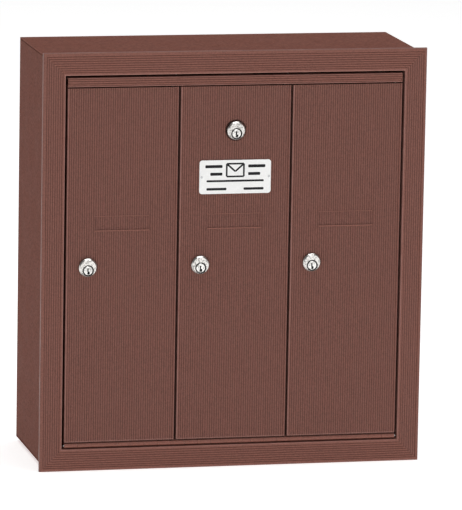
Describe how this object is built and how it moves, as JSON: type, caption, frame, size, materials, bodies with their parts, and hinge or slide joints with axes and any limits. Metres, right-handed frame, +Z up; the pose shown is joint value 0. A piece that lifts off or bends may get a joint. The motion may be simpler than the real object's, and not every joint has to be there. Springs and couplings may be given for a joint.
{
  "type": "cluster mailbox unit",
  "caption": "Surface-mounted vertical mailbox with tall reeded tenant doors on a tilting master panel, cam locks, mitred front frame and divided compartments.",
  "frame": {"origin": "centre of the four wall fixing holes, on the outer face of the back panel", "axes": "+X to the right as seen from the front, +Y into the wall, +Z up"},
  "size_m": [0.4762, 0.1886, 0.5144],
  "materials": {
    "bronze_frame": "satin bronze powder coat on reeded aluminium extrusion",
    "bronze_housing": "satin bronze powder coat on folded aluminium sheet",
    "bronze_doors": "satin bronze powder coat on reeded aluminium extrusion",
    "bronze_inner": "satin bronze powder coat",
    "mill_aluminium": "mill finish sheet",
    "zinc_steel": "zinc plated steel",
    "rivet_aluminium": "plain blind rivet",
    "lock_nickel": "satin nickel plated zinc die casting",
    "plate_enamel": "white baked enamel on thin aluminium"
  },
  "bodies": {
    "cabinet": {"back_panel": "bronze_housing", "top_panel": "bronze_housing", "bottom_panel": "bronze_housing", "left_side_panel": "bronze_housing", "right_side_panel": "bronze_housing", "back_panel_rivets": "rivet_aluminium", "frame_rail_top": "bronze_frame", "frame_rail_bottom": "bronze_frame", "frame_rail_left": "bronze_frame", "frame_rail_right": "bronze_frame", "frame_corner_keys": "zinc_steel", "frame_studs": "zinc_steel", "frame_nuts": "zinc_steel", "divider_left": "mill_aluminium", "divider_right": "mill_aluminium", "hinge_fixed_leaf": "bronze_inner", "hinge_fixed_rivets": "rivet_aluminium", "master_strike": "bronze_inner", "strike_rivets": "rivet_aluminium"},
    "master_panel": {"panel_top_rail": "bronze_doors", "panel_bottom_rail": "bronze_inner", "panel_left_stile": "bronze_inner", "panel_right_stile": "bronze_inner", "panel_mullion_left": "bronze_inner", "panel_mullion_right": "bronze_inner", "panel_rivets": "rivet_aluminium", "hinge_moving_leaf": "bronze_inner", "hinge_pin": "zinc_steel", "hinge_moving_rivets": "rivet_aluminium", "master_lock_bracket": "bronze_inner", "bracket_rivets": "rivet_aluminium", "master_lock_body": "lock_nickel", "master_lock_nut": "lock_nickel"},
    "master_plug": {"master_lock_plug": "lock_nickel", "master_lock_cam": "zinc_steel", "master_cam_screw": "zinc_steel"},
    "tenant_door_1": {"door_1": "bronze_doors", "door_pins_1": "zinc_steel", "lock_body_1": "lock_nickel", "lock_clip_1": "zinc_steel"},
    "tenant_plug_1": {"lock_plug_1": "lock_nickel", "lock_cam_1": "zinc_steel", "cam_screw_1": "zinc_steel"},
    "tenant_door_2": {"door_2": "bronze_doors", "door_pins_2": "zinc_steel", "lock_body_2": "lock_nickel", "lock_clip_2": "zinc_steel", "mail_plate": "plate_enamel", "plate_rivets": "rivet_aluminium"},
    "tenant_plug_2": {"lock_plug_2": "lock_nickel", "lock_cam_2": "zinc_steel", "cam_screw_2": "zinc_steel"},
    "tenant_door_3": {"door_3": "bronze_doors", "door_pins_3": "zinc_steel", "lock_body_3": "lock_nickel", "lock_clip_3": "zinc_steel"},
    "tenant_plug_3": {"lock_plug_3": "lock_nickel", "lock_cam_3": "zinc_steel", "cam_screw_3": "zinc_steel"}
  },
  "joints": [
    {"name": "master_tilt", "type": "hinge", "parent": "cabinet", "child": "master_panel", "pos_m": [0, -0.18165, -0.22537], "axis": [1, 0, 0], "range_deg": [0, 90]},
    {"name": "door_1_swing", "type": "hinge", "parent": "master_panel", "child": "tenant_door_1", "pos_m": [-0.0787, -0.17705, 0], "axis": [0, 0, 1], "range_deg": [0, 100]},
    {"name": "door_2_swing", "type": "hinge", "parent": "master_panel", "child": "tenant_door_2", "pos_m": [0.0607, -0.17705, 0], "axis": [0, 0, 1], "range_deg": [0, 100]},
    {"name": "door_3_swing", "type": "hinge", "parent": "master_panel", "child": "tenant_door_3", "pos_m": [0.2001, -0.17705, 0], "axis": [0, 0, 1], "range_deg": [0, 100]},
    {"name": "lock_1_turn", "type": "hinge", "parent": "tenant_door_1", "child": "tenant_plug_1", "pos_m": [-0.1811, -0.18315, -0.00833], "axis": [0, -1, 0], "range_deg": [0, 90]},
    {"name": "lock_2_turn", "type": "hinge", "parent": "tenant_door_2", "child": "tenant_plug_2", "pos_m": [-0.0417, -0.18315, -0.00833], "axis": [0, -1, 0], "range_deg": [0, 90]},
    {"name": "lock_3_turn", "type": "hinge", "parent": "tenant_door_3", "child": "tenant_plug_3", "pos_m": [0.0977, -0.18315, -0.00833], "axis": [0, -1, 0], "range_deg": [0, 90]},
    {"name": "master_lock_turn", "type": "hinge", "parent": "master_panel", "child": "master_plug", "pos_m": [0, -0.18315, 0.15648], "axis": [0, -1, 0], "range_deg": [0, 90]}
  ]
}
